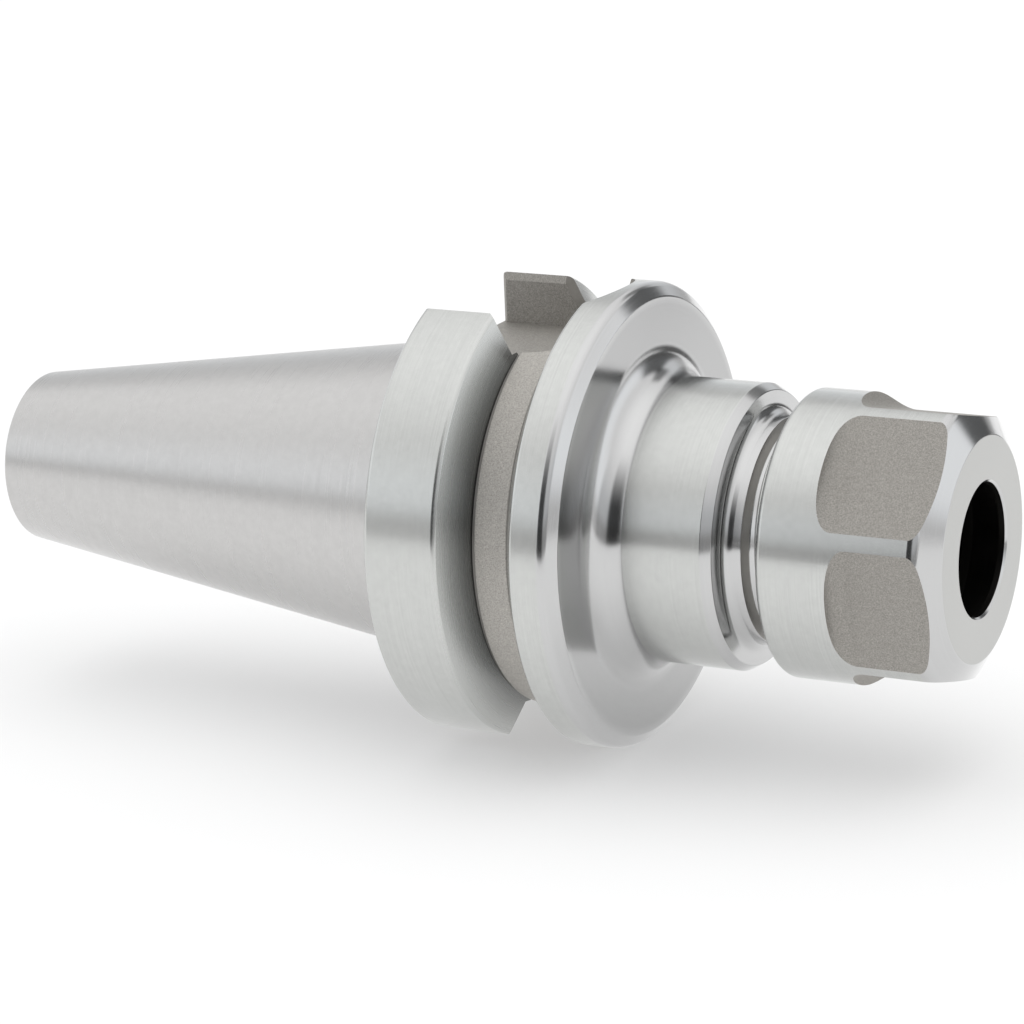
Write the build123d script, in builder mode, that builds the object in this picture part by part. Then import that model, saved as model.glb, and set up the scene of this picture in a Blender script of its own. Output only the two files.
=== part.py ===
from build123d import *
from math import cos, radians, sin, sqrt, tan
import os

# Collet chuck holder: a steep-taper tool holder with a collet seat in its nose, and the nut
# that closes the collet. Two pieces, each turned from one bar.
# The tool axis is X, from the taper towards the nut. The origin is the centre of the gauge
# line, where the taper has its gauge diameter. Z points out through the upper drive slot.

# Taper and pull-stud hole
gauge_d = 31.75
taper_per_length = 7 / 24
taper_len = 48.4
small_end_break = 0.4
relief_d = 31.0
relief_len = 1.6
stud_pilot_d = 12.5
stud_pilot_len = 7.0
stud_tap_d = 10.2
stud_drill_len = 34.0
stud_mouth_break = 0.8
coolant_d = 6.0
drill_point = 59.0

# Flange with its gripper groove and two drive slots
flange_back = 2.0
flange_d = 46.0
flange_len = 20.0
flange_back_break = 0.5
flange_front_break_len = 1.0
flange_front_break_rise = 1.4
groove_mid = 11.6
groove_w = 8.0
groove_floor_d = 38.8
groove_half_angle = 30.0
groove_lip_break = 0.3
slot_w = 16.1
slot_floor = 16.3
slot_len = 17.8
slot_edge_break = 0.45

# Neck, shoulder and nose thread
neck_d = 28.0
neck_len = 11.95
neck_root_round = 3.0
neck_edge_len = 0.95
neck_edge_drop = 0.6
shoulder_len = 1.95
shoulder_round = 1.2
thread_d = 22.0
thread_pitch = 1.5
thread_run_out = 3.0
nose_break = 0.8

# Collet seat and stop-screw hole behind it
seat_mouth_d = 16.0
seat_half_angle = 8.0
seat_mouth_break = 0.3
shank_bore_d = 10.4
shank_bore_len = 6.7
stop_tap_d = 8.5
stop_tap_len = 12.0

# Clamping nut
nut_d = 28.0
nut_len = 17.5
nut_gap = 2.6
nut_back_break = 0.5
nut_back_bore_d = 22.4
nut_back_bore_len = 1.8
nut_back_bore_break = 0.5
nut_front_wall = 5.1
nut_tip_gap = 0.3
nut_relief_len = 2.0
nut_cone_angle = 30.0
nut_cone_round = 1.2
nut_face_d = 21.8
mouth_d = 12.9
mouth_land = 0.8
mouth_break = 0.2
collet_cone_angle = 30.0
lip_len = 1.0
lip_d = 15.2
lip_offset = 0.45
lip_turn = 120.0
lip_bar_d = 12.3
across_flats = 25.0
flat_heel_upper = 7.4
flat_heel_lower = 8.9
flat_cutter_r = 2.0
flat_turn = 45.0
flat_count = 6
thread_clearance = 0.05

# Sizes worked out from those above
gauge_r = gauge_d / 2
small_end_r = gauge_r - taper_len * taper_per_length / 2
flange_r = flange_d / 2
flange_front = flange_back + flange_len
groove_x = flange_back + groove_mid
groove_floor_r = groove_floor_d / 2
groove_foot = groove_w / 2 - (flange_r - groove_floor_r) * tan(radians(groove_half_angle))
lip_in = groove_lip_break * tan(radians(groove_half_angle))
lip_out = groove_lip_break / cos(radians(groove_half_angle)) - lip_in
neck_r = neck_d / 2
neck_end = flange_front + neck_len
shoulder_end = neck_end + shoulder_len
thread_r = thread_d / 2
thread_root_r = thread_r - 0.6134 * thread_pitch
thread_pitch_r = thread_r - 0.3248 * thread_pitch
thread_flank = (thread_r - thread_root_r) * tan(radians(30))
run_out_end = shoulder_end + thread_run_out
nut_back = shoulder_end + nut_gap
nut_face = nut_back + nut_len
nut_floor = nut_face - nut_front_wall
nose_end = nut_floor - nut_tip_gap
seat_mouth_r = seat_mouth_d / 2
shank_bore_r = shank_bore_d / 2
seat_back = nose_end - (seat_mouth_r - shank_bore_r) / tan(radians(seat_half_angle))
stop_front = seat_back - shank_bore_len
stop_tap_r = stop_tap_d / 2
stop_back = stop_front - (shank_bore_r - stop_tap_r) - stop_tap_len
coolant_r = coolant_d / 2
stud_pilot_r = stud_pilot_d / 2
stud_tap_r = stud_tap_d / 2
stud_pilot_end = -taper_len + stud_pilot_len
stud_drill_end = -taper_len + stud_drill_len
drill_slope = tan(radians(drill_point))

os.makedirs("parts", exist_ok=True)

# Holder body: taper, flange, neck and nose as one turned outline
with BuildPart() as holder_body:
    with BuildSketch(Plane.XZ):
        with BuildLine():
            small_end = (-taper_len, small_end_r - small_end_break)
            FilletPolyline(
                (-taper_len, stud_pilot_r + stud_mouth_break),
                small_end,
                (-taper_len + small_end_break, small_end_r + small_end_break * taper_per_length / 2),
                (flange_back - relief_len, gauge_r + (flange_back - relief_len) * taper_per_length / 2),
                (flange_back - relief_len + (gauge_d - relief_d) / 2, relief_d / 2),
                (flange_back, relief_d / 2),
                (flange_back, flange_r - flange_back_break),
                (flange_back + flange_back_break, flange_r),
                (groove_x - groove_w / 2 - lip_out, flange_r),
                (groove_x - groove_w / 2 + lip_in, flange_r - groove_lip_break),
                (groove_x - groove_foot, groove_floor_r),
                (groove_x + groove_foot, groove_floor_r),
                (groove_x + groove_w / 2 - lip_in, flange_r - groove_lip_break),
                (groove_x + groove_w / 2 + lip_out, flange_r),
                (flange_front - flange_front_break_len, flange_r),
                (flange_front, flange_r - flange_front_break_rise),
                (flange_front, neck_r),
                (neck_end - neck_edge_len, neck_r),
                (neck_end, neck_r - neck_edge_drop),
                (neck_end, thread_r),
                (shoulder_end, thread_r),
                (shoulder_end + thread_flank, thread_root_r),
                (run_out_end, thread_root_r),
                (run_out_end + thread_flank, thread_pitch_r),
                (nose_end - nose_break, thread_pitch_r),
                (nose_end, thread_pitch_r - nose_break),
                (nose_end, seat_mouth_r + seat_mouth_break),
                (nose_end - seat_mouth_break, seat_mouth_r - seat_mouth_break * tan(radians(seat_half_angle))),
                (seat_back, shank_bore_r),
                (stop_front, shank_bore_r),
                (stop_front - (shank_bore_r - stop_tap_r), stop_tap_r),
                (stop_back, stop_tap_r),
                (stop_back - (stop_tap_r - coolant_r) / drill_slope, coolant_r),
                (stud_drill_end + (stud_tap_r - coolant_r) / drill_slope, coolant_r),
                (stud_drill_end, stud_tap_r),
                (stud_pilot_end, stud_tap_r),
                (stud_pilot_end, stud_pilot_r),
                (-taper_len + stud_mouth_break, stud_pilot_r),
                radius=[0] * 16 + [neck_root_round, 0, 0, shoulder_round] + [0] * 18,
                close=True,
            )
        make_face()
    revolve(axis=Axis.X)

    # Drive slots: an end mill the width of the key runs in from the rear face
    slot_centre = flange_back + slot_len - slot_w / 2
    for side in (1, -1):
        with BuildSketch(Plane.XY.offset(side * slot_floor)):
            with BuildLine():
                sides = Polyline(
                    (slot_centre, slot_w / 2),
                    (flange_back + slot_edge_break, slot_w / 2),
                    (flange_back, slot_w / 2 + slot_edge_break),
                    (flange_back, -slot_w / 2 - slot_edge_break),
                    (flange_back + slot_edge_break, -slot_w / 2),
                    (slot_centre, -slot_w / 2),
                )
                ThreePointArc(sides @ 1, (flange_back + slot_len, 0), sides @ 0)
            make_face()
        extrude(amount=side * (flange_r - slot_floor + 1), mode=Mode.SUBTRACT)

    # Broken edges where the slots meet the rear land
    edge_z = sqrt(flange_r**2 - (slot_w / 2) ** 2) - slot_edge_break
    with BuildSketch(Plane.YZ.offset(flange_back)):
        with BuildLine():
            Polyline(
                (-slot_w / 2, edge_z),
                (slot_w / 2, edge_z),
                (slot_w / 2 + 2 * slot_edge_break, edge_z + 2 * slot_edge_break),
                (-slot_w / 2 - 2 * slot_edge_break, edge_z + 2 * slot_edge_break),
                close=True,
            )
        make_face()
        mirror(about=Plane.XZ)
    extrude(amount=groove_mid, mode=Mode.SUBTRACT)
holder_body.part.label = "holder_body"
export_step(holder_body.part, "parts/holder_body.step")

# Clamping nut: one turned outline, six milled flats and an off-centre lip inside
with BuildPart() as clamping_nut:
    cone_len = (nut_d - nut_face_d) / 2 * tan(radians(nut_cone_angle))
    mouth_r = mouth_d / 2
    lip_back = nut_floor + lip_len
    collet_cone_end = nut_face - mouth_land
    collet_cone_r = mouth_r + (collet_cone_end - lip_back) * tan(radians(collet_cone_angle))
    thread_bore_r = thread_pitch_r + thread_clearance
    back_bore_r = nut_back_bore_d / 2
    with BuildSketch(Plane.XZ):
        with BuildLine():
            FilletPolyline(
                (nut_back, back_bore_r + nut_back_bore_break),
                (nut_back, nut_d / 2 - nut_back_break),
                (nut_back + nut_back_break, nut_d / 2),
                (nut_face - cone_len, nut_d / 2),
                (nut_face, nut_face_d / 2),
                (nut_face, mouth_r + mouth_break),
                (nut_face - mouth_break, mouth_r),
                (collet_cone_end, mouth_r),
                (lip_back, collet_cone_r),
                (nut_floor, collet_cone_r),
                (nut_floor, back_bore_r),
                (nut_floor - nut_relief_len, back_bore_r),
                (nut_floor - nut_relief_len, thread_bore_r),
                (nut_back + nut_back_bore_len, thread_bore_r),
                (nut_back + nut_back_bore_len, back_bore_r),
                (nut_back + nut_back_bore_break, back_bore_r),
                radius=[0, 0, 0, nut_cone_round] + [0] * 12,
                close=True,
            )
        make_face()
    revolve(axis=Axis.X)

    # Off-centre lip that pulls the collet out, in the root of the collet cone
    lip_centre = (lip_offset * sin(radians(lip_turn)), lip_offset * cos(radians(lip_turn)))
    with BuildSketch(Plane.YZ.offset(nut_floor)):
        Circle(thread_bore_r)
        with Locations(lip_centre):
            Circle(lip_d / 2, mode=Mode.SUBTRACT)
    extrude(amount=lip_len)

    # Shallow off-centre moon in the mouth, where the lip's boring bar went in
    with BuildSketch(Plane.YZ.offset(nut_face)):
        with Locations(lip_centre):
            Circle(lip_bar_d / 2)
    extrude(amount=-mouth_land, mode=Mode.SUBTRACT)

    # Wrench flats, each run out at its heel by the cutter's corner radius
    for k in range(flat_count):
        turn = radians(flat_turn + k * 360 / flat_count)
        outward = Vector(0, -sin(turn), cos(turn))
        heel = flat_heel_upper if outward.Z > 0 else flat_heel_lower
        flat_start = nut_back + heel
        flat_plane = Plane(origin=(0, 0, 0), x_dir=(1, 0, 0), z_dir=Vector(1, 0, 0).cross(outward))
        with BuildSketch(flat_plane):
            with BuildLine():
                top = across_flats / 2 + flat_cutter_r
                bed = Line((nut_face + 1, across_flats / 2), (flat_start, across_flats / 2))
                heel_arc = RadiusArc(bed @ 1, (flat_start - flat_cutter_r, top), flat_cutter_r)
                Polyline(heel_arc @ 1, (nut_face + 1, top), bed @ 0)
            make_face()
        extrude(amount=nut_d / 2, both=True, mode=Mode.SUBTRACT)
clamping_nut.part.label = "clamping_nut"
export_step(clamping_nut.part, "parts/clamping_nut.step")
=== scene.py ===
"""Looks of a collet chuck holder: turned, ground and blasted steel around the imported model."""

import math

import bmesh
import bpy
from mathutils import Matrix, Vector


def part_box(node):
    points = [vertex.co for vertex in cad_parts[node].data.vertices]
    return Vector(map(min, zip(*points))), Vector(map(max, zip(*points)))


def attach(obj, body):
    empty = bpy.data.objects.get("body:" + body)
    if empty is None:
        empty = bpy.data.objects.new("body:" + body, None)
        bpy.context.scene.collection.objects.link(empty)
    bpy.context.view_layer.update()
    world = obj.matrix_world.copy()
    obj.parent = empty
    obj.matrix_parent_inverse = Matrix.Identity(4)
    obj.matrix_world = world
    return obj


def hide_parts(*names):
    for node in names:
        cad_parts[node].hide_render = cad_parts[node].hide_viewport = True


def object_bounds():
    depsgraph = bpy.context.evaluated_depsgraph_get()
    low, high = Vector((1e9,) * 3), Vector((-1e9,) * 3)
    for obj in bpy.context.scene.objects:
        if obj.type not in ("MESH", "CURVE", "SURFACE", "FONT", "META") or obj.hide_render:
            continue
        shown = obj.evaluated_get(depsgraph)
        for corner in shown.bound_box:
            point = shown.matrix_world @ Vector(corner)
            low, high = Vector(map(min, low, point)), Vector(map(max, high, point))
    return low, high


bl_info = {
    "name": "Collet Chuck Holder",
    "version": (1, 0, 0),
    "blender": (4, 5, 0),
    "location": "View3D > Sidebar > Holder",
    "description": "Turned, ground and blasted steel pieces of a collet chuck holder",
    "category": "Object",
}

MM = 0.001
AXIS = Vector((1, 0, 0))
# Radius gained per mm of the taper, 7 in 24 across.
TAPER_SLOPE = 7 / 48
# Half the angle of the groove and of the thread, and the slope of the nut's front and of its lip.
HALF_ANGLE = math.radians(30)
# Sharper turns than this stay sharp edges.
SHARP_TURN = math.radians(24)
# Steps of a full spin.
BODY_STEPS, NUT_STEPS, RIDGE_STEPS = 288, 240, 240
# Share of the pitch from a thread's crest to its middle, and to its root.
TO_PITCH_LINE, TO_ROOT = 0.3248, 0.6134

# Holes inside the holder: radius and the x they reach, mm from the gauge line.
PILOT_RADIUS, PILOT_END = 6.25, -41.4
STUD_RADIUS, STUD_END = 5.1, -14.4
COOLANT_RADIUS, COOLANT_START, COOLANT_END = 3.0, -13.138, 10.276
STOP_RADIUS, STOP_START, STOP_END = 4.25, 11.027, 23.027
COLLET_TAIL_RADIUS, TAIL_START, TAIL_END = 5.2, 23.977, 30.677
SEAT_MOUTH_RADIUS, SEAT_EDGE_RADIUS = 7.958, 8.3
SMALL_END_RADIUS = 7.05
# Line that the tool leaves at the foot of the groove's rear flank: start, width and depth, mm.
UNDERCUT_START, UNDERCUT_WIDTH, UNDERCUT_DEPTH = 0.12, 0.3, 0.22
# Broken edges: of a slot's wall, and how deep the slot's edge at the groove is cut.
SLOT_EDGE, FLANK_EDGE_DEPTH = 0.45, 0.62
# The thread's ridge: the x it starts at, mm, the turn about the axis it starts at, and its turns.
RIDGE_START, RIDGE_FIRST_TURN, RIDGE_TURNS = 36.35, math.radians(160), 1.45

# Inside of the nut, mm: wall in front of the nose, lip, land of the mouth, relief and thread.
FRONT_WALL, LIP_LENGTH, MOUTH_LAND = 5.1, 1.0, 0.8
RELIEF_RADIUS, RELIEF_LENGTH, THREAD_BORE_RADIUS, BACK_BORE_LENGTH = 11.2, 2.0, 10.563, 1.8
# From the nut's back to the heel of an upper and of a lower flat, and the cutter's corner round.
HEEL_TOP, HEEL_BOTTOM, HEEL_ROUND = 7.4, 8.9, 2.0

# The stage: sizes in metres, the camera as fitted to the photo.
TABLE_RADIUS = 2.5
BOX_HEIGHT, BOX_SIZE, BOX_WATTS = 0.9, 1.2, 4.0
CAMERA_MM = (176.97, -329.73, 106.12)
CAMERA_RIGHT, CAMERA_BACK = (0.8925, 0.4496, -0.0382), (0.4417, -0.8533, 0.2774)
FOCAL_PIXELS, IMAGE_PIXELS, SENSOR_MM = 3873, 1024, 36.0

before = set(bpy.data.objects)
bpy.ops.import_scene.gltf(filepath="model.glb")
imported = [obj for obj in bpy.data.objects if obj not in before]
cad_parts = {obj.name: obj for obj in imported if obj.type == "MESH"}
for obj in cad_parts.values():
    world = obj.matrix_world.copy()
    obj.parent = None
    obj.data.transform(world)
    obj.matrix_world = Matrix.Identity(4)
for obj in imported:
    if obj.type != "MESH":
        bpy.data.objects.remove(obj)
CAD_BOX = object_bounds()
BODY_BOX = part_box("holder_body")
NUT_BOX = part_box("clamping_nut")


# --- sizes and colours that a user would change


class HolderSizes(bpy.types.PropertyGroup):
    """Sizes of the one-piece holder body, in millimetres from the gauge line"""

    gauge_radius: bpy.props.FloatProperty(
        name="Gauge radius", description="Radius of the taper at the gauge line, mm", default=15.875
    )
    flange_back: bpy.props.FloatProperty(
        name="Flange back", description="Gauge line to the flange's rear face, mm", default=2.0
    )
    flange_length: bpy.props.FloatProperty(
        name="Flange length", description="Thickness of the flange, mm", default=20.0
    )
    groove_middle: bpy.props.FloatProperty(
        name="Groove middle", description="Rear face to the middle of the gripper groove, mm", default=11.6
    )
    groove_width: bpy.props.FloatProperty(
        name="Groove width", description="Width of the gripper groove at the flange's edge, mm", default=8.0
    )
    groove_floor_radius: bpy.props.FloatProperty(
        name="Groove floor radius", description="Radius of the gripper groove's floor, mm", default=19.4
    )
    slot_width: bpy.props.FloatProperty(
        name="Slot width", description="Width of a drive slot, mm", default=16.1
    )
    slot_floor: bpy.props.FloatProperty(
        name="Slot floor", description="Tool axis to a drive slot's floor, mm", default=16.3
    )
    slot_length: bpy.props.FloatProperty(
        name="Slot length", description="Rear face to the round end of a drive slot, mm", default=17.8
    )
    neck_radius: bpy.props.FloatProperty(
        name="Neck radius", description="Radius of the neck, mm", default=14.0
    )
    neck_end: bpy.props.FloatProperty(
        name="Neck end", description="Gauge line to the end of the neck, mm", default=33.95
    )
    shoulder_end: bpy.props.FloatProperty(
        name="Shoulder end", description="Gauge line to the end of the shoulder, mm", default=35.9
    )
    thread_radius: bpy.props.FloatProperty(
        name="Thread radius", description="Outer radius of the nose thread, mm", default=11.0
    )
    thread_pitch: bpy.props.FloatProperty(
        name="Thread pitch", description="Travel of one turn of the nut, mm", default=1.5
    )


class NutSizes(bpy.types.PropertyGroup):
    """Sizes of the clamping nut, in millimetres"""

    radius: bpy.props.FloatProperty(
        name="Radius", description="Radius of the nut's round part, mm", default=14.0
    )
    face_radius: bpy.props.FloatProperty(
        name="Face radius", description="Radius of the nut's flat front, mm", default=10.9
    )
    mouth_radius: bpy.props.FloatProperty(
        name="Mouth radius", description="Radius of the opening for the collet, mm", default=6.45
    )
    across_flats: bpy.props.FloatProperty(
        name="Across flats", description="Distance between two opposite flats, mm", default=25.0
    )
    flat_turn: bpy.props.FloatProperty(
        name="Flat turn", description="Angle of the first flat about the tool axis, degrees", default=45.0
    )


class SteelColours(bpy.types.PropertyGroup):
    """Colours of the steel's finishes, as sRGB hex"""

    ground: bpy.props.StringProperty(
        name="Ground steel", description="Fine-ground taper", default="BAB9B8"
    )
    turned: bpy.props.StringProperty(
        name="Turned steel", description="Flange edge, neck and nut as turned", default="BBBCBA"
    )
    polished: bpy.props.StringProperty(
        name="Polished steel", description="Flange face, fillet, chamfers and nut cone", default="BABABA"
    )
    faced: bpy.props.StringProperty(
        name="Faced steel", description="Front face of the nut", default="A9A9A7"
    )
    slot_floor: bpy.props.StringProperty(
        name="Slot floor", description="Floor of a drive slot", default="A4A19C"
    )
    groove_floor: bpy.props.StringProperty(
        name="Groove floor", description="Floor of the gripper groove", default="B3B0AB"
    )
    filed: bpy.props.StringProperty(
        name="Filed edge", description="Edge between a drive slot and the groove", default="7B7873"
    )
    thread_start: bpy.props.StringProperty(
        name="Thread start", description="Chamfer the nose thread starts on", default="9E9B98"
    )
    # Near black: painted shade inside the nut and its mouth.
    painted_shade_inside: bpy.props.StringProperty(
        name="Painted shade inside", description="Inside and mouth of the nut", default="3C3A38"
    )
    bored: bpy.props.StringProperty(
        name="Bored steel", description="Holes inside", default="716F6C"
    )
    blasted: bpy.props.StringProperty(
        name="Blasted steel", description="Walls of the drive slots, and wrench flats", default="9E9B96"
    )
    floor: bpy.props.StringProperty(
        name="Floor", description="Pale studio floor", default="B0B0B0"
    )


# --- helpers


def linear(hex_colour):
    """sRGB hex to a linear colour with alpha."""
    parts = [int(hex_colour[i : i + 2], 16) / 255 for i in (0, 2, 4)]
    return [p / 12.92 if p <= 0.04045 else ((p + 0.055) / 1.055) ** 2.4 for p in parts] + [1.0]


def node(tree, kind, inputs=None, links=(), **settings):
    """Adds a node, gives it its settings and values, and links its inputs to other nodes' outputs."""
    new = tree.nodes.new(kind)
    for name, value in settings.items():
        setattr(new, name, value)
    for key, value in (inputs or {}).items():
        new.inputs[key].default_value = value
    for key, source, output in links:
        tree.links.new(source.outputs[output], new.inputs[key])
    return new


def corner_cut(radius, before, corner, after):
    """How far from a corner a round of that radius starts."""
    a, b = (Vector(before) - Vector(corner)).normalized(), (Vector(after) - Vector(corner)).normalized()
    return radius / math.tan(a.angle(b) / 2)


def turned_piece(name, outline, steps):
    """A closed outline of (x, radius, corner round) in mm, spun once about the tool axis."""
    bm = bmesh.new()
    verts = [bm.verts.new((x * MM, 0, r * MM)) for x, r, _ in outline]
    for a, b in zip(verts, verts[1:] + verts[:1]):
        bm.edges.new((a, b))
    count = len(outline)
    rounds = []
    for i, (x, r, radius) in enumerate(outline):
        if radius:
            x0, r0, _ = outline[i - 1]
            x1, r1, _ = outline[(i + 1) % count]
            rounds.append((verts[i], corner_cut(radius, (x0, r0, 0), (x, r, 0), (x1, r1, 0))))
    for vert, cut in rounds:
        bmesh.ops.bevel(
            bm, geom=[vert], offset=cut * MM, offset_type="OFFSET", affect="VERTICES",
            segments=6, profile=0.5, material=-1, clamp_overlap=False,
        )
    bmesh.ops.spin(
        bm, geom=bm.verts[:] + bm.edges[:], axis=AXIS, cent=(0, 0, 0),
        angle=2 * math.pi, steps=steps, use_merge=True,
    )
    bmesh.ops.remove_doubles(bm, verts=bm.verts, dist=1e-7)
    bmesh.ops.recalc_face_normals(bm, faces=bm.faces)
    return keep(bm, name)


def keep(bm, name):
    """Puts a bmesh into a new object at the origin."""
    mesh = bpy.data.meshes.new(name)
    bm.to_mesh(mesh)
    bm.free()
    piece = bpy.data.objects.new(name, mesh)
    bpy.context.scene.collection.objects.link(piece)
    return piece


def cut(piece, cutter):
    """Takes the cutter out of the piece for good. Cut faces keep the cutter's material index."""
    modifier = piece.modifiers.new("cut", "BOOLEAN")
    modifier.operation = "DIFFERENCE"
    modifier.solver = "EXACT"
    modifier.object = cutter
    bpy.context.view_layer.update()
    done = bpy.data.meshes.new_from_object(piece.evaluated_get(bpy.context.evaluated_depsgraph_get()))
    piece.modifiers.clear()
    old, piece.data = piece.data, done
    done.name = piece.name
    bpy.data.meshes.remove(old)
    bpy.data.meshes.remove(cutter.data)


def finish_shading(piece):
    """Smooth faces with sharp edges where the shape turns, and normals that follow the large faces."""
    bm = bmesh.new()
    bm.from_mesh(piece.data)
    for face in bm.faces:
        face.smooth = True
    for edge in bm.edges:
        edge.smooth = len(edge.link_faces) == 2 and edge.calc_face_angle(0) < SHARP_TURN
    bm.to_mesh(piece.data)
    bm.free()
    weighted = piece.modifiers.new("even normals", "WEIGHTED_NORMAL")
    weighted.keep_sharp = True
    weighted.mode = "FACE_AREA"


def give_finishes(piece, kinds):
    """Gives a piece or a cutter the materials of these finishes, in this order."""
    for kind in kinds:
        piece.data.materials.append(finish(kind))


def paint_faces(piece, kinds, choose):
    """Gives each face the finish that choose(centre x, centre radius) names, both in mm."""
    for face in piece.data.polygons:
        c = face.center / MM
        face.material_index = kinds.index(choose(c.x, math.hypot(c.y, c.z)))


# --- materials


def bare_steel(name, colour, roughness, anisotropic):
    """A bare steel with its shader's fixed values. Returns the material, its tree and its shader."""
    material = bpy.data.materials.new(name)
    material.use_nodes = True
    tree = material.node_tree
    tree.nodes.clear()
    shader = node(
        tree, "ShaderNodeBsdfPrincipled",
        {"Metallic": 1.0, "Base Color": linear(colour), "Roughness": roughness,
         "Anisotropic": anisotropic, "Anisotropic Rotation": 0.25},
    )
    node(tree, "ShaderNodeOutputMaterial", links=[("Surface", shader, "BSDF")])
    return material, tree, shader


def off_axis(tree):
    """The place on the piece, its parts, its part across the tool axis, and how long that is."""
    place = node(tree, "ShaderNodeTexCoord")
    apart = node(tree, "ShaderNodeSeparateXYZ", links=[("Vector", place, "Object")])
    across = node(tree, "ShaderNodeCombineXYZ", links=[("Y", apart, "Y"), ("Z", apart, "Z")])
    reach = node(tree, "ShaderNodeVectorMath", links=[("Vector", across, "Vector")], operation="LENGTH")
    return place, apart, across, reach


def lathe_lines(tree, lines_per_mm, patches_per_mm, detail):
    """A noise whose streaks run round the tool axis: quick along the profile, slow round it."""
    place, apart, across, reach = off_axis(tree)
    along = node(tree, "ShaderNodeMath", links=[(0, apart, "X"), (1, reach, "Value")], operation="SUBTRACT")
    fast = node(tree, "ShaderNodeMath", {1: lines_per_mm / MM}, [(0, along, "Value")], operation="MULTIPLY")
    slow = node(
        tree, "ShaderNodeVectorMath", {"Scale": patches_per_mm / MM}, [("Vector", across, "Vector")],
        operation="SCALE",
    )
    slow_parts = node(tree, "ShaderNodeSeparateXYZ", links=[("Vector", slow, "Vector")])
    vector = node(
        tree, "ShaderNodeCombineXYZ",
        links=[("X", fast, "Value"), ("Y", slow_parts, "Y"), ("Z", slow_parts, "Z")],
    )
    noise = node(
        tree, "ShaderNodeTexNoise", {"Scale": 1.0, "Detail": detail, "Roughness": 0.6},
        [("Vector", vector, "Vector")],
    )
    return place, noise


def shade_by(tree, shader, colour, source, output, low, high, contrast):
    """Darkens and lightens the base colour by a pattern's value between low and high."""
    shade = node(
        tree, "ShaderNodeMapRange",
        {"From Min": low, "From Max": high, "To Min": 1 - contrast, "To Max": 1 + contrast},
        [("Value", source, output)],
    )
    tint = node(
        tree, "ShaderNodeVectorMath", {0: linear(colour)[:3]}, [("Scale", shade, "Result")], operation="SCALE"
    )
    tree.links.new(tint.outputs["Vector"], shader.inputs["Base Color"])


def turned_steel(name, colour, roughness, anisotropic, lines_per_mm, depth, contrast, mottle=0.0):
    """Steel as it leaves the lathe or grinder: highlights stretch across the fine rings of its marks."""
    material, tree, shader = bare_steel(name, colour, roughness, anisotropic)
    place, lines = lathe_lines(tree, lines_per_mm, 0.04, 3.0)
    marks = node(
        tree, "ShaderNodeVectorMath", {0: (1, 0, 0)}, [(1, place, "Object")], operation="CROSS_PRODUCT"
    )
    turned = node(
        tree, "ShaderNodeVectorTransform", links=[("Vector", marks, "Vector")],
        vector_type="VECTOR", convert_from="OBJECT", convert_to="WORLD",
    )
    tree.links.new(turned.outputs["Vector"], shader.inputs["Tangent"])
    cloud = node(
        tree, "ShaderNodeTexNoise", {"Scale": 1.1 / MM, "Detail": 4.0, "Roughness": 0.7},
        [("Vector", place, "Object")],
    )
    both = node(
        tree, "ShaderNodeMix", {"Factor": mottle}, [("A", lines, "Fac"), ("B", cloud, "Fac")],
        data_type="FLOAT",
    )
    shade_by(tree, shader, colour, both, "Result", 0.3, 0.7, contrast)
    rough = node(
        tree, "ShaderNodeMapRange",
        {"From Min": 0.3, "From Max": 0.7, "To Min": roughness * 0.88, "To Max": roughness * 1.12},
        [("Value", lines, "Fac")],
    )
    tree.links.new(rough.outputs["Result"], shader.inputs["Roughness"])
    relief = node(tree, "ShaderNodeBump", {"Distance": depth * MM}, [("Height", lines, "Fac")])
    tree.links.new(relief.outputs["Normal"], shader.inputs["Normal"])
    return material


def blasted_steel(name, colour):
    """Bead-blasted steel: a warm matt grey with a fine even grain and no direction."""
    material, tree, shader = bare_steel(name, colour, 0.62, 0.0)
    place = node(tree, "ShaderNodeTexCoord")
    # Real blast pits are about 0.05 mm, drawn about 0.12 mm so that they show.
    grain = node(
        tree, "ShaderNodeTexNoise", {"Scale": 8.0 / MM, "Detail": 2.0, "Roughness": 0.9},
        [("Vector", place, "Object")],
    )
    shade_by(tree, shader, colour, grain, "Fac", 0.3, 0.7, 0.32)
    relief = node(
        tree, "ShaderNodeBump", {"Strength": 0.6, "Distance": 0.01 * MM}, [("Height", grain, "Fac")]
    )
    tree.links.new(relief.outputs["Normal"], shader.inputs["Normal"])
    return material


def shade_by_radius(material, stops):
    """Multiplies a material's colour by a factor for the radius, from a list of (radius in mm, factor)."""
    tree = material.node_tree
    shader = next(n for n in tree.nodes if n.type == "BSDF_PRINCIPLED")
    colour = shader.inputs["Base Color"].links[0].from_socket
    reach = off_axis(tree)[3]
    low, high = stops[0][0], stops[-1][0]
    share = node(
        tree, "ShaderNodeMapRange", {"From Min": low * MM, "From Max": high * MM}, [("Value", reach, "Value")]
    )
    ramp = node(tree, "ShaderNodeValToRGB", links=[("Fac", share, "Result")])
    for stop in stops[1:-1]:
        ramp.color_ramp.elements.new((stop[0] - low) / (high - low))
    for element, (radius, factor) in zip(ramp.color_ramp.elements, stops):
        element.color = (factor, factor, factor, 1)
    shaded = node(tree, "ShaderNodeVectorMath", links=[(1, ramp, "Color")], operation="MULTIPLY")
    tree.links.new(colour, shaded.inputs[0])
    tree.links.new(shaded.outputs["Vector"], shader.inputs["Base Color"])
    return material


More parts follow.
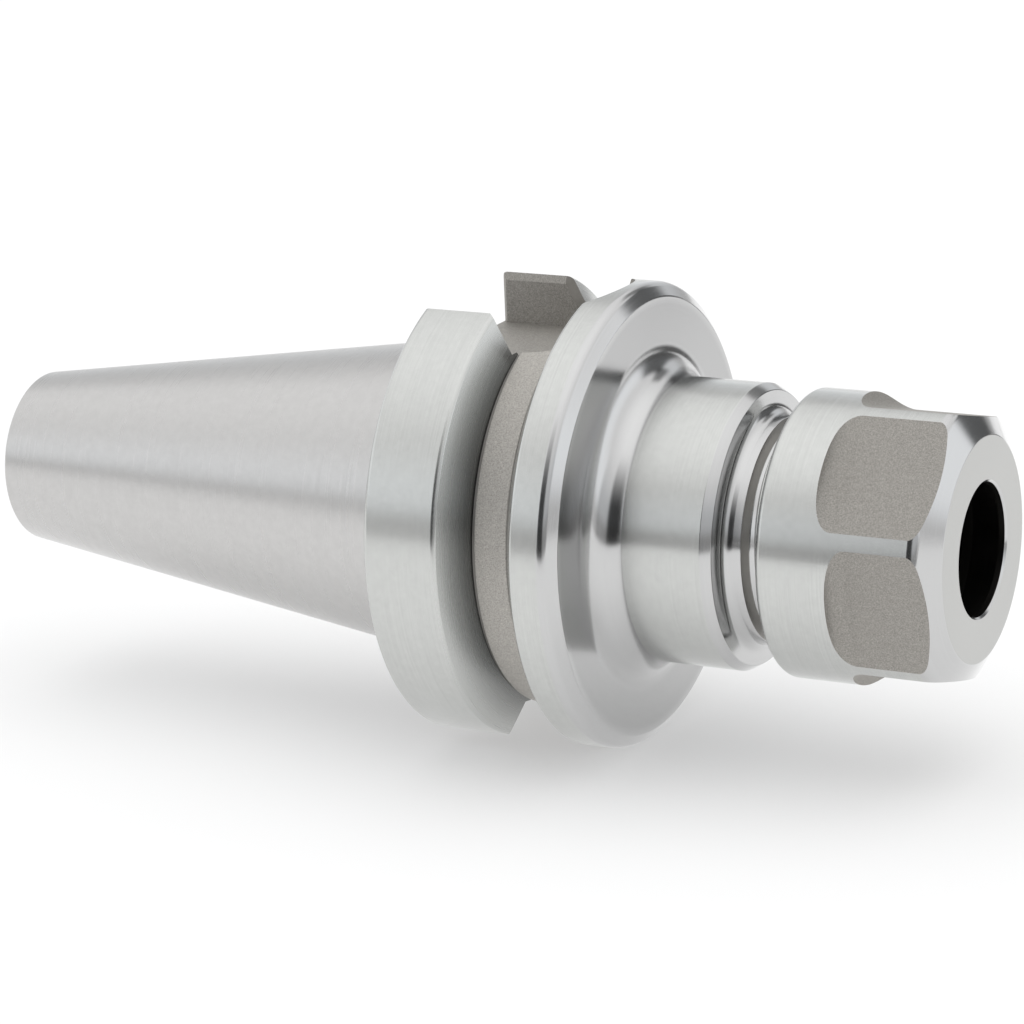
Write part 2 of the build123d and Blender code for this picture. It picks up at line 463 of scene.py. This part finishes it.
def finish(kind):
    """The steel of one finish. It is made when it is first asked for."""
    name = kind + " steel"
    if name in bpy.data.materials:
        return bpy.data.materials[name]
    colours = bpy.context.scene.steel_colours
    if kind == "ground taper":
        # Ground between centres, so satin, with very fine rings and a faint cloudiness.
        return turned_steel(
            name, colours.ground, roughness=0.3, anisotropic=0.7, lines_per_mm=6.0,
            depth=0.0002, contrast=0.045, mottle=0.8,
        )
    if kind == "fine turned":
        # Turned with a fine feed. Real rings are about 0.08 mm apart, drawn about 0.12 mm.
        return turned_steel(
            name, colours.turned, roughness=0.24, anisotropic=0.7, lines_per_mm=9.0,
            depth=0.0006, contrast=0.07, mottle=0.4,
        )
    if kind == "flange front":
        # Polished chamfer and fillet. The flat between them is painted a shade darker: painted
        # shade that stands in for the dark neck it mirrors.
        neck, rim = bpy.context.scene.holder_sizes.neck_radius, BODY_BOX[1].z / MM
        material = turned_steel(
            name, colours.polished, roughness=0.17, anisotropic=0.5, lines_per_mm=5.0,
            depth=0.0005, contrast=0.02, mottle=0.3,
        )
        return shade_by_radius(
            material, [(neck + 2, 1.0), (neck + 3.2, 0.82), (rim - 2.2, 0.82), (rim - 1.4, 1.0)]
        )
    if kind == "faced":
        # Faced across with a wider feed, a shade darker than the cone round it.
        return turned_steel(
            name, colours.faced, roughness=0.22, anisotropic=0.5, lines_per_mm=5.0,
            depth=0.0005, contrast=0.02, mottle=0.3,
        )
    if kind == "polished turned":
        # Turned and polished, near a mirror, so it takes the dark edges of the tent.
        return turned_steel(
            name, colours.polished, roughness=0.16, anisotropic=0.5, lines_per_mm=4.0,
            depth=0.0004, contrast=0.015,
        )
    if kind == "groove side":
        # Turned sides of the groove, with painted shade: the colour darkens to 0.42 towards their foot.
        sizes = bpy.context.scene.holder_sizes
        material = turned_steel(
            name, colours.turned, roughness=0.26, anisotropic=0.5, lines_per_mm=4.0,
            depth=0.0006, contrast=0.02,
        )
        return shade_by_radius(material, [(sizes.groove_floor_radius, 0.42), (BODY_BOX[1].z / MM - 0.6, 1.0)])
    if kind == "slot floor":
        # Milled and then blasted: duller than the walls beside it.
        return blasted_steel(name, colours.slot_floor)
    if kind == "groove floor":
        # Blasted too, and a shade lighter than the flats of the nut.
        return blasted_steel(name, colours.groove_floor)
    if kind == "filed edge":
        # The edge between slot and groove, broken with a file, in a darker grey.
        return turned_steel(
            name, colours.filed, roughness=0.45, anisotropic=0.0, lines_per_mm=3.0,
            depth=0.002, contrast=0.1, mottle=0.9,
        )
    if kind == "thread start":
        # The chamfer the thread starts on, turned with a wide feed, rougher and a darker grey than the neck.
        return turned_steel(
            name, colours.thread_start, roughness=0.34, anisotropic=0.3, lines_per_mm=5.0,
            depth=0.001, contrast=0.06, mottle=0.5,
        )
    if kind == "bored":
        # Bored inside, and a little darker.
        return turned_steel(
            name, colours.bored, roughness=0.35, anisotropic=0.4, lines_per_mm=3.0,
            depth=0.002, contrast=0.05,
        )
    if kind == "painted_shade_inside":
        # The nut's inner ring and mouth, painted near black: painted shade inside the nut.
        return turned_steel(
            name, colours.painted_shade_inside, roughness=0.4, anisotropic=0.3, lines_per_mm=3.0,
            depth=0.002, contrast=0.05,
        )
    return blasted_steel(name, colours.blasted)


# --- pieces


class HOLDER_OT_body(bpy.types.Operator):
    """Build the holder body with its finishes"""

    bl_idname = "holder.body"
    bl_label = "Holder body"

    def execute(self, context):
        s = context.scene.holder_sizes
        back, front = s.flange_back, s.flange_back + s.flange_length
        rim = BODY_BOX[1].z / MM
        middle, half = back + s.groove_middle, s.groove_width / 2
        foot = half - (rim - s.groove_floor_radius) * math.tan(HALF_ANGLE)
        small, nose = BODY_BOX[0].x / MM, BODY_BOX[1].x / MM
        small_r = s.gauge_radius + small * TAPER_SLOPE
        pitch_r = s.thread_radius - TO_PITCH_LINE * s.thread_pitch
        root_r = s.thread_radius - TO_ROOT * s.thread_pitch
        undercut_r = s.groove_floor_radius - UNDERCUT_DEPTH
        undercut = middle - foot + UNDERCUT_START
        # Each corner's x and radius, and the radius of its round, from the small end outside and back inside.
        outline = [
            (small, SMALL_END_RADIUS, 0),
            (small, small_r, 0.35),
            (0.4, s.gauge_radius + 0.4 * TAPER_SLOPE, 0.1),
            (0.8, 15.5, 0.1),
            (back, 15.5, 0.15),
            (back, rim, 0.5),
            (middle - half, rim, 0.6),
            (undercut, undercut_r, 0),
            (undercut + UNDERCUT_WIDTH, undercut_r, 0),
            (undercut + UNDERCUT_WIDTH, s.groove_floor_radius, 0.1),
            (middle + foot, s.groove_floor_radius, 0.3),
            (middle + half, rim, 0.4),
            (front - 1.0, rim, 1.1),
            (front, rim - 1.4, 0.3),
            (front, s.neck_radius, 3.0),
            (s.neck_end - 0.95, s.neck_radius, 0.12),
            (s.neck_end, s.neck_radius - 0.6, 0.12),
            (s.neck_end, s.thread_radius, 1.2),
            (s.shoulder_end, s.thread_radius, 0.08),
            (s.shoulder_end + 0.53, root_r, 0.15),
            (s.shoulder_end + 3.0, root_r, 0),
            (s.shoulder_end + 3.25, pitch_r, 0),
            (nose - 0.8, pitch_r, 0),
            (nose, pitch_r - 0.8, 0),
            (nose, SEAT_EDGE_RADIUS, 0),
            (nose - 0.3, SEAT_MOUTH_RADIUS, 0),
            (TAIL_END, COLLET_TAIL_RADIUS, 0),
            (TAIL_START, COLLET_TAIL_RADIUS, 0),
            (STOP_END, STOP_RADIUS, 0),
            (STOP_START, STOP_RADIUS, 0),
            (COOLANT_END, COOLANT_RADIUS, 0),
            (COOLANT_START, COOLANT_RADIUS, 0),
            (STUD_END, STUD_RADIUS, 0),
            (PILOT_END, STUD_RADIUS, 0),
            (PILOT_END, PILOT_RADIUS, 0),
            (small + 0.8, PILOT_RADIUS, 0),
        ]
        piece = turned_piece("holder_body_steel", outline, BODY_STEPS)
        kinds = (
            "ground taper", "fine turned", "blasted", "bored", "polished turned",
            "slot floor", "groove floor", "groove side", "flange front", "filed edge",
            "thread start",
        )
        give_finishes(piece, kinds)

        def finish_at(x, r):
            if x < 0.5 and r > s.gauge_radius + (x - 1) * TAPER_SLOPE - 0.6:
                return "ground taper"
            if x < small + 0.3 and r > SMALL_END_RADIUS + 0.05:
                return "fine turned"
            if (x < back - 0.01 and r < 14) or (r < s.thread_radius - 0.8 and (x > nose - 0.5 or r < 8.5)):
                return "bored"
            if abs(x - middle) < foot and r < s.groove_floor_radius + 0.1:
                return "groove floor" if r > s.groove_floor_radius - 0.08 else "bored"
            if abs(x - middle) < half + 0.3 and r < rim - 0.03:
                return "groove side"
            if front - 1.6 < x < front + 3.0 and r > s.neck_radius + 0.02:
                return "flange front"
            if s.shoulder_end < x < s.shoulder_end + 3 and r > root_r + 0.05:
                return "thread start"
            if x > s.neck_end - 0.9 and r < s.neck_radius - 0.1:
                return "polished turned"
            return "fine turned"

        paint_faces(piece, kinds, finish_at)
        for cutter in self.slot_cutters(s, rim):
            give_finishes(cutter, kinds)
            for face in cutter.data.polygons:
                bed = cutter.name.startswith("slot") and abs(face.normal.z) > 0.9
                filed = cutter.name.startswith("flank")
                kind = "slot floor" if bed else "filed edge" if filed else "blasted"
                face.material_index = kinds.index(kind)
            cut(piece, cutter)
        finish_shading(piece)
        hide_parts("holder_body")
        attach(piece, "holder")
        return {"FINISHED"}

    def slot_cutters(self, s, rim):
        """The two end-milled slots, and the broken edges where they meet the rear land and the groove."""
        half, edge = s.slot_width / 2, SLOT_EDGE
        back, tip = s.flange_back, s.flange_back + s.slot_length
        cutters = []
        for side in (1, -1):
            bm = bmesh.new()
            plan = [
                (back - 1, half + edge + 1), (back + edge, half), (tip, half),
                (tip, -half), (back + edge, -half), (back - 1, -half - edge - 1),
            ]
            low, high = side * s.slot_floor * MM, side * (rim + 1) * MM
            face = bm.faces.new([bm.verts.new((x * MM, y * MM, low)) for x, y in plan])
            corners = [v for v in bm.verts if v.co.x > (tip - 0.1) * MM]
            bmesh.ops.bevel(
                bm, geom=corners, offset=half * 0.9999 * MM, offset_type="OFFSET", affect="VERTICES",
                segments=32, profile=0.5, material=-1, clamp_overlap=False,
            )
            grown = bmesh.ops.extrude_face_region(bm, geom=bm.faces[:])
            top = [v for v in grown["geom"] if isinstance(v, bmesh.types.BMVert)]
            bmesh.ops.translate(bm, verts=top, vec=(0, 0, high - low))
            bmesh.ops.recalc_face_normals(bm, faces=bm.faces)
            cutters.append(keep(bm, "slot_cutter"))
        bm = bmesh.new()
        start = math.sqrt(rim**2 - half**2) - 2 * edge
        for side in (1, -1):
            section = [
                (-half, start), (half, start),
                (half + 2 * edge, start + 4 * edge), (-half - 2 * edge, start + 4 * edge),
            ]
            verts = [bm.verts.new(((back - 0.5) * MM, y * MM, side * z * MM)) for y, z in section]
            face = bm.faces.new(verts)
            grown = bmesh.ops.extrude_face_region(bm, geom=[face])
            far = [v for v in grown["geom"] if isinstance(v, bmesh.types.BMVert)]
            bmesh.ops.translate(bm, verts=far, vec=((s.groove_middle + 0.5) * MM, 0, 0))
        bmesh.ops.recalc_face_normals(bm, faces=bm.faces)
        cutters.append(keep(bm, "edge_cutter"))
        cutters.append(keep(self.flank_edge_cutter(s, rim, half), "flank_edge_cutter"))
        return cutters

    def flank_edge_cutter(self, s, rim, half):
        """Four blocks that break the edges between the slots' walls and the groove's rear flank."""
        middle, side = s.flange_back + s.groove_middle, s.groove_width / 2
        foot = side - (rim - s.groove_floor_radius) * math.tan(HALF_ANGLE)
        top = Vector((middle - side, half, math.sqrt(rim**2 - half**2)))
        low = Vector((middle - foot, half, math.sqrt(s.groove_floor_radius**2 - half**2)))
        along = (low - top).normalized()
        out_y, out_z = half / rim, math.sqrt(1 - (half / rim) ** 2)
        flank = Vector((math.cos(HALF_ANGLE), math.sin(HALF_ANGLE) * out_y, math.sin(HALF_ANGLE) * out_z))
        outward = (flank + Vector((0, -1, 0))).normalized()
        across = outward.cross(along).normalized()
        outward = along.cross(across)
        length, tall, wide = (low - top).length + 1.5, 3.0, 4.0
        centre = low - along * length / 2 + outward * (tall / 2 - FLANK_EDGE_DEPTH)
        bm = bmesh.new()
        for mirror_y in (1, -1):
            for mirror_z in (1, -1):
                turn = Matrix((along, across, outward)).transposed().to_4x4()
                size = Matrix.Diagonal((length * MM, wide * MM, tall * MM, 1))
                flip = Matrix.Diagonal((1, mirror_y, mirror_z, 1))
                bmesh.ops.create_cube(
                    bm, size=1, matrix=flip @ Matrix.Translation(centre * MM) @ turn @ size
                )
        bmesh.ops.recalc_face_normals(bm, faces=bm.faces)
        return bm


class HOLDER_OT_thread(bpy.types.Operator):
    """Build the run-out of the nose thread, which shows behind the nut"""

    bl_idname = "holder.thread"
    bl_label = "Nose thread"

    def execute(self, context):
        s = context.scene.holder_sizes
        pitch, crest = s.thread_pitch, s.thread_radius
        # The foot goes a little into the core.
        root = crest - TO_ROOT * pitch - 0.05
        flank = (crest - root) * math.tan(HALF_ANGLE)
        half_crest = pitch / 16
        section = [
            (-half_crest - flank, root), (-half_crest, crest), (half_crest, crest), (half_crest + flank, root)
        ]
        bm = bmesh.new()
        turn = Matrix.Rotation(RIDGE_FIRST_TURN, 3, "X")
        verts = [bm.verts.new(turn @ Vector(((RIDGE_START + x) * MM, 0, r * MM))) for x, r in section]
        face = bm.faces.new(verts)
        bmesh.ops.spin(
            bm, geom=[face], axis=AXIS, cent=(0, 0, 0), angle=2 * math.pi * RIDGE_TURNS, steps=RIDGE_STEPS,
            dvec=(pitch * RIDGE_TURNS / RIDGE_STEPS * MM, 0, 0), use_merge=False,
        )
        # The ridge rises out of the core over its first sixth of a turn.
        for vert in bm.verts:
            rise = min(1, max(0.02, (vert.co.x / MM - RIDGE_START + half_crest) / pitch * 6))
            reach = math.hypot(vert.co.y, vert.co.z) / MM
            if reach > root + 0.01:
                lower = (root + (reach - root) * rise) / reach
                vert.co.y, vert.co.z = vert.co.y * lower, vert.co.z * lower
        bmesh.ops.recalc_face_normals(bm, faces=bm.faces)
        piece = keep(bm, "nose_thread_ridge")
        piece.data.materials.append(finish("fine turned"))
        finish_shading(piece)
        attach(piece, "holder")
        return {"FINISHED"}


class HOLDER_OT_nut(bpy.types.Operator):
    """Build the clamping nut with its flats, lip and mouth"""

    bl_idname = "holder.nut"
    bl_label = "Clamping nut"

    def execute(self, context):
        n = context.scene.nut_sizes
        back, face = NUT_BOX[0].x / MM, NUT_BOX[1].x / MM
        cone = (n.radius - n.face_radius) * math.tan(HALF_ANGLE)
        floor = face - FRONT_WALL
        lip_back = floor + LIP_LENGTH
        cone_end = face - MOUTH_LAND
        cone_root = n.mouth_radius + (cone_end - lip_back) * math.tan(HALF_ANGLE)
        outline = [
            (back, RELIEF_RADIUS + 0.5, 0),
            (back, n.radius, 0.6),
            (face - cone, n.radius, 1.2),
            (face, n.face_radius, 0.35),
            (face, n.mouth_radius + 0.2, 0),
            (face - 0.2, n.mouth_radius, 0),
            (cone_end, n.mouth_radius, 0),
            (lip_back, cone_root, 0),
            (floor, cone_root, 0),
            (floor, RELIEF_RADIUS, 0),
            (floor - RELIEF_LENGTH, RELIEF_RADIUS, 0),
            (floor - RELIEF_LENGTH, THREAD_BORE_RADIUS, 0),
            (back + BACK_BORE_LENGTH, THREAD_BORE_RADIUS, 0),
            (back + BACK_BORE_LENGTH, RELIEF_RADIUS, 0),
            (back + 0.5, RELIEF_RADIUS, 0),
        ]
        piece = turned_piece("clamping_nut_steel", outline, NUT_STEPS)
        kinds = ("fine turned", "blasted", "painted_shade_inside", "polished turned", "faced")
        give_finishes(piece, kinds)

        def finish_at(x, r):
            # The inside and the mouth take the near-black painted shade.
            if r < n.mouth_radius + 0.05 or (r < RELIEF_RADIUS + 0.3 and x < face - 0.5):
                return "painted_shade_inside"
            if x > face - 0.01:
                return "faced"
            return "polished turned" if x > face - cone - 0.8 else "fine turned"

        paint_faces(piece, kinds, finish_at)
        for cutter in self.flat_cutters(n, back, face):
            give_finishes(cutter, kinds)
            for polygon in cutter.data.polygons:
                polygon.material_index = kinds.index("blasted")
            cut(piece, cutter)
        finish_shading(piece)
        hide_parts("clamping_nut")
        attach(piece, "nut")
        return {"FINISHED"}

    def flat_cutters(self, n, back, face):
        """Six milled flats, each with the cutter's corner round at its heel."""
        cutters = []
        bed, top = n.across_flats / 2, n.across_flats / 2 + HEEL_ROUND
        for k in range(6):
            turn = math.radians(n.flat_turn + k * 60)
            heel = back + (HEEL_TOP if math.cos(turn) > 0 else HEEL_BOTTOM)
            bm = bmesh.new()
            side = [
                (heel - HEEL_ROUND, top + 0.5), (heel - HEEL_ROUND, bed),
                (face + 1, bed), (face + 1, top + 0.5),
            ]
            verts = [bm.verts.new((x * MM, -n.radius / 2 * MM, r * MM)) for x, r in side]
            bm.faces.new(verts)
            bmesh.ops.bevel(
                bm, geom=[verts[1]], offset=HEEL_ROUND * MM, offset_type="OFFSET", affect="VERTICES",
                segments=10, profile=0.5, material=-1, clamp_overlap=False,
            )
            grown = bmesh.ops.extrude_face_region(bm, geom=bm.faces[:])
            far = [v for v in grown["geom"] if isinstance(v, bmesh.types.BMVert)]
            bmesh.ops.translate(bm, verts=far, vec=(0, n.radius * MM, 0))
            bmesh.ops.rotate(bm, verts=bm.verts, cent=(0, 0, 0), matrix=Matrix.Rotation(turn, 3, "X"))
            bmesh.ops.recalc_face_normals(bm, faces=bm.faces)
            cutters.append(keep(bm, "flat_cutter"))
        return cutters


# --- stage


class HOLDER_OT_stage(bpy.types.Operator):
    """Set the pale floor, the soft studio light and the camera"""

    bl_idname = "holder.stage"
    bl_label = "Floor, light and camera"

    def execute(self, context):
        scene = context.scene
        scene.view_settings.view_transform = "Standard"
        self.table(scene)
        self.world(scene)
        self.softbox(scene)
        self.camera(scene)
        return {"FINISHED"}

    def table(self, scene):
        """A white acrylic table lit from below, as small parts are photographed on, so shadows are faint."""
        bm = bmesh.new()
        bmesh.ops.create_circle(bm, cap_ends=True, segments=96, radius=TABLE_RADIUS)
        bmesh.ops.translate(bm, verts=bm.verts, vec=(0, 0, CAD_BOX[0].z))
        floor = keep(bm, "floor")
        paint = bpy.data.materials.new("lit white acrylic")
        paint.use_nodes = True
        paint.cycles.emission_sampling = "NONE"
        tree = paint.node_tree
        tree.nodes.clear()
        shader = node(
            tree, "ShaderNodeBsdfPrincipled",
            {"Base Color": linear(scene.steel_colours.floor), "Roughness": 0.9, "Specular IOR Level": 0.1,
             "Emission Color": (1, 1, 1, 1)},
        )
        # The steel mirrors a small table: for reflections it ends at its front edge, and has a narrow gap at
        # the back where the dim tent shows.
        # Each has its azimuth in degrees, and where it starts and its half width in metres.
        place = node(tree, "ShaderNodeTexCoord")
        ends = []
        for azimuth, start, half in ((-65, 0.2, 1.0), (67, 0.24, 0.06)):
            ahead = (math.cos(math.radians(azimuth)), math.sin(math.radians(azimuth)), 0)
            aside = (-ahead[1], ahead[0], 0)
            masks = []
            for way, low, high, first in (
                (ahead, start - 0.04, start + 0.04, 0.0), (aside, half - 0.02, half + 0.02, 1.0)
            ):
                far = node(
                    tree, "ShaderNodeVectorMath", {0: way}, [(1, place, "Object")], operation="DOT_PRODUCT"
                )
                if first:
                    far = node(tree, "ShaderNodeMath", links=[(0, far, "Value")], operation="ABSOLUTE")
                masks.append(node(
                    tree, "ShaderNodeMapRange",
                    {"From Min": low, "From Max": high, "To Min": first, "To Max": 1 - first},
                    [("Value", far, "Value")], interpolation_type="SMOOTHSTEP",
                ))
            ends.append(node(
                tree, "ShaderNodeMath", links=[(0, masks[0], "Result"), (1, masks[1], "Result")],
                operation="MULTIPLY",
            ))
        off = node(
            tree, "ShaderNodeMath", links=[(0, ends[0], "Value"), (1, ends[1], "Value")], operation="MAXIMUM"
        )
        path = node(tree, "ShaderNodeLightPath")
        lit = node(
            tree, "ShaderNodeMapRange", {"To Min": 0.4, "To Max": 0.62}, [("Value", path, "Is Glossy Ray")]
        )
        tree.links.new(lit.outputs["Result"], shader.inputs["Emission Strength"])
        cleared = node(
            tree, "ShaderNodeMath", links=[(0, off, "Value"), (1, path, "Is Glossy Ray")],
            operation="MULTIPLY",
        )
        gone = node(tree, "ShaderNodeBsdfTransparent")
        both = node(
            tree, "ShaderNodeMixShader",
            links=[("Fac", cleared, "Value"), (1, shader, "BSDF"), (2, gone, "BSDF")],
        )
        node(tree, "ShaderNodeOutputMaterial", links=[("Surface", both, "Shader")])
        floor.data.materials.append(paint)

    def world(self, scene):
        """A white light tent. It is dim at the horizon and where the camera looks in."""
        world = bpy.data.worlds.new("light tent")
        world.use_nodes = True
        tree = world.node_tree
        tree.nodes.clear()
        place = node(tree, "ShaderNodeTexCoord")
        apart = node(tree, "ShaderNodeSeparateXYZ", links=[("Vector", place, "Generated")])
        ramp = node(tree, "ShaderNodeValToRGB", links=[("Fac", apart, "Z")])
        # Sine of the elevation, brightness, and how much bluer than white.
        stops = [
            (0.0, 0.73, 0.0), (0.05, 0.88, 0.0), (0.11, 1.17, 0.02), (0.17, 1.36, 0.02), (0.3, 1.4, 0.02),
            (0.45, 1.3, 0.01), (0.58, 1.15, 0.0), (0.74, 1.25, 0.0), (0.91, 1.43, 0.0), (1.0, 1.48, 0.0),
        ]
        for stop in stops[1:-1]:
            ramp.color_ramp.elements.new(stop[0])
        for element, (position, value, blue) in zip(ramp.color_ramp.elements, stops):
            element.position = position
            element.color = [value * (1 - blue), value, value * (1 + blue), 1]
        # Azimuth, elevation, half width and half height with their soft edges, all in degrees, then depth.
        dim = None
        for patch in (
            (-83, 0, (25, 8), (42, 44), 0.95),
            (-38, 0, (24, 14), (28, 30), 0.45),
            (67, 8, (12, 7), (21, 10), 0.88),
            (81, 31, (9, 8), (10, 8), 0.72),
            (92, 16, (12, 12), (16, 12), 0.35),
            (128, 24, (22, 14), (14, 5), 0.36),
        ):
            shade = self.soft_patch(tree, place, *patch)
            if dim is None:
                dim = shade
            else:
                dim = node(
                    tree, "ShaderNodeMath", links=[(0, dim, 0), (1, shade, "Result")], operation="MULTIPLY"
                )
        back = node(tree, "ShaderNodeBackground", links=[("Color", ramp, "Color"), ("Strength", dim, 0)])
        pale = node(tree, "ShaderNodeBackground", {"Color": (0.9, 0.9, 0.9, 1)})
        path = node(tree, "ShaderNodeLightPath")
        both = node(
            tree, "ShaderNodeMixShader",
            links=[("Fac", path, "Is Camera Ray"), (1, back, "Background"), (2, pale, "Background")],
        )
        node(tree, "ShaderNodeOutputWorld", links=[("Surface", both, "Shader")])
        scene.world = world

    def soft_patch(self, tree, place, azimuth, elevation, width, height, depth):
        """A dim patch of the tent: 1 outside it, and 1 - depth in its middle."""
        turned = node(
            tree, "ShaderNodeVectorRotate", {"Angle": math.radians(-azimuth)},
            [("Vector", place, "Generated")], rotation_type="Z_AXIS",
        )
        apart = node(tree, "ShaderNodeSeparateXYZ", links=[("Vector", turned, "Vector")])
        around = node(tree, "ShaderNodeMath", links=[(0, apart, "Y"), (1, apart, "X")], operation="ARCTAN2")
        up = node(tree, "ShaderNodeMath", links=[(0, apart, "Z")], operation="ARCSINE")
        up = node(
            tree, "ShaderNodeMath", {1: math.radians(elevation)}, [(0, up, "Value")], operation="SUBTRACT"
        )
        masks = []
        for angle, (half, soft) in ((around, width), (up, height)):
            size = node(tree, "ShaderNodeMath", links=[(0, angle, "Value")], operation="ABSOLUTE")
            low, high = math.radians(half - soft / 2), math.radians(half + soft / 2)
            masks.append(node(
                tree, "ShaderNodeMapRange",
                {"From Min": low, "From Max": high, "To Min": 1.0, "To Max": 0.0},
                [("Value", size, "Value")], interpolation_type="SMOOTHSTEP",
            ))
        inside = node(
            tree, "ShaderNodeMath", links=[(0, masks[0], "Result"), (1, masks[1], "Result")],
            operation="MULTIPLY",
        )
        return node(
            tree, "ShaderNodeMapRange", {"To Min": 1.0, "To Max": 1.0 - depth}, [("Value", inside, "Value")]
        )

    def softbox(self, scene):
        """A square softbox overhead, facing down. It lights the table and doesn't show in the steel."""
        light = bpy.data.lights.new("overhead softbox", "AREA")
        light.shape = "RECTANGLE"
        light.size, light.size_y, light.energy = BOX_SIZE, BOX_SIZE, BOX_WATTS
        lamp = bpy.data.objects.new("overhead softbox", light)
        lamp.location = (0, 0, BOX_HEIGHT)
        lamp.visible_camera = False
        lamp.visible_glossy = False
        scene.collection.objects.link(lamp)

    def camera(self, scene):
        """The camera, where the photo's own outlines put it."""
        lens = bpy.data.cameras.new("camera")
        lens.sensor_width = SENSOR_MM
        lens.lens = FOCAL_PIXELS / IMAGE_PIXELS * SENSOR_MM
        lens.clip_start, lens.clip_end = 0.01, 10.0
        camera = bpy.data.objects.new("camera", lens)
        back = Vector(CAMERA_BACK).normalized()
        up = back.cross(Vector(CAMERA_RIGHT)).normalized()
        facing = Matrix((up.cross(back), up, back)).transposed().to_4x4()
        camera.matrix_world = Matrix.Translation(Vector(CAMERA_MM) * MM) @ facing
        scene.collection.objects.link(camera)
        scene.camera = camera


class HOLDER_PT_panel(bpy.types.Panel):
    """Lists the pieces and their sizes"""

    bl_label = "Collet Chuck Holder"
    bl_idname = "HOLDER_PT_panel"
    bl_space_type = "VIEW_3D"
    bl_region_type = "UI"
    bl_category = "Holder"

    def draw(self, context):
        layout = self.layout
        for operator in OPERATORS:
            layout.operator(operator.bl_idname)
        for group in ("holder_sizes", "nut_sizes", "steel_colours"):
            box = layout.box()
            sizes = getattr(context.scene, group)
            for key in sizes.bl_rna.properties.keys():
                if key not in ("rna_type", "name"):
                    box.prop(sizes, key)


OPERATORS = (HOLDER_OT_body, HOLDER_OT_thread, HOLDER_OT_nut, HOLDER_OT_stage)
CLASSES = (HolderSizes, NutSizes, SteelColours, *OPERATORS, HOLDER_PT_panel)


def register():
    for cls in CLASSES:
        bpy.utils.register_class(cls)
    bpy.types.Scene.holder_sizes = bpy.props.PointerProperty(type=HolderSizes)
    bpy.types.Scene.nut_sizes = bpy.props.PointerProperty(type=NutSizes)
    bpy.types.Scene.steel_colours = bpy.props.PointerProperty(type=SteelColours)


def unregister():
    del bpy.types.Scene.steel_colours
    del bpy.types.Scene.nut_sizes
    del bpy.types.Scene.holder_sizes
    for cls in reversed(CLASSES):
        bpy.utils.unregister_class(cls)


def main():
    register()
    bpy.ops.holder.body()
    bpy.ops.holder.thread()
    bpy.ops.holder.nut()
    bpy.ops.holder.stage()


if __name__ == "__main__":
    main()
